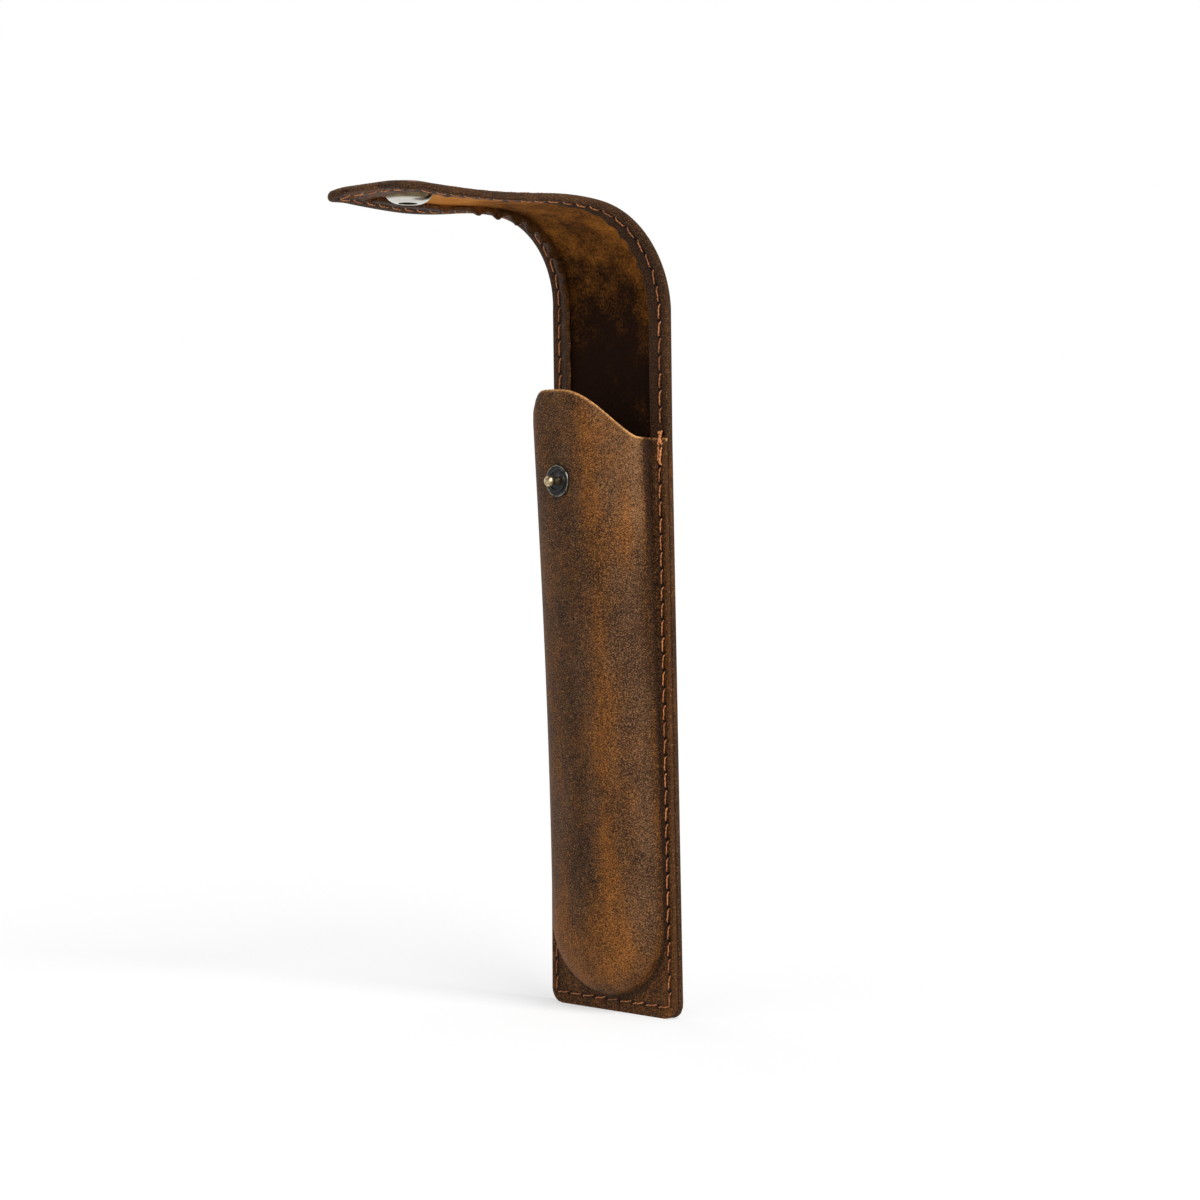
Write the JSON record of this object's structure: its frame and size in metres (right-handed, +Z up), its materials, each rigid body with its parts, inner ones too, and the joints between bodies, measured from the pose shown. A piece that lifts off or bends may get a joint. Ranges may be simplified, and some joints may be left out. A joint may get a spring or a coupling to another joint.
{
  "type": "single pen sleeve",
  "caption": "Upright leather pen sleeve: moulded front pocket stitched to a flat back whose leather runs on as a fold-over flap with a snap fastener.",
  "frame": {"origin": "centre of the bottom edge, on the line where the front leather meets the back", "axes": "+Z up along the sleeve, +Y out of the flat back, -Y out of the moulded front, +X to the side seen nearest in the picture"},
  "size_m": [0.042, 0.0753, 0.1938],
  "materials": {
    "hide": "oiled pull-up leather, grain side out, suede side in, dark turned edges",
    "front_hide": "oiled pull-up leather, wet moulded, rubbed lighter on the crown, raw tan edge",
    "thread": "twisted waxed orange-tan thread",
    "dark_metal": "antique blackened brass, rubbed bright on its rims",
    "brass": "polished brass",
    "old_brass": "pale antique brass, satin",
    "spring_wire": "bright spring wire"
  },
  "bodies": {
    "sleeve": {"back_panel": "hide", "front_pocket": "front_hide", "pocket_stitches": "thread", "back_stitches": "thread", "riser_stitches": "thread", "mouth_tack_left": "thread", "mouth_tack_right": "thread", "stud_base": "dark_metal", "stud_post": "brass", "stud_backing": "dark_metal"},
    "flap_1": {"flap_panel_1": "hide", "flap_stitches_1": "thread", "flap_back_stitches_1": "thread"},
    "flap_2": {"flap_panel_2": "hide", "flap_stitches_2": "thread", "flap_back_stitches_2": "thread"},
    "flap_end": {"flap_panel_3": "hide", "flap_stitches_3": "thread", "flap_back_stitches_3": "thread", "snap_cap": "dark_metal", "snap_socket": "old_brass", "snap_spring": "spring_wire"}
  },
  "joints": [
    {"name": "flap_bend_1", "type": "hinge", "parent": "sleeve", "child": "flap_1", "pos_m": [0, 0.00007, 0.17167], "axis": [1, 0, 0], "range_deg": [-35.7, 32.91]},
    {"name": "flap_bend_2", "type": "hinge", "parent": "flap_1", "child": "flap_2", "pos_m": [0, -0.0062, 0.18229], "axis": [1, 0, 0], "range_deg": [-31.22, 28.77]},
    {"name": "flap_bend_3", "type": "hinge", "parent": "flap_2", "child": "flap_end", "pos_m": [0, -0.017, 0.18824], "axis": [1, 0, 0], "range_deg": [-36.02, 33.2]}
  ],
  "couplings": [
    {"joint": "flap_bend_2", "follows": "flap_bend_1", "ratio": 0.8744},
    {"joint": "flap_bend_3", "follows": "flap_bend_1", "ratio": 1.0088}
  ]
}
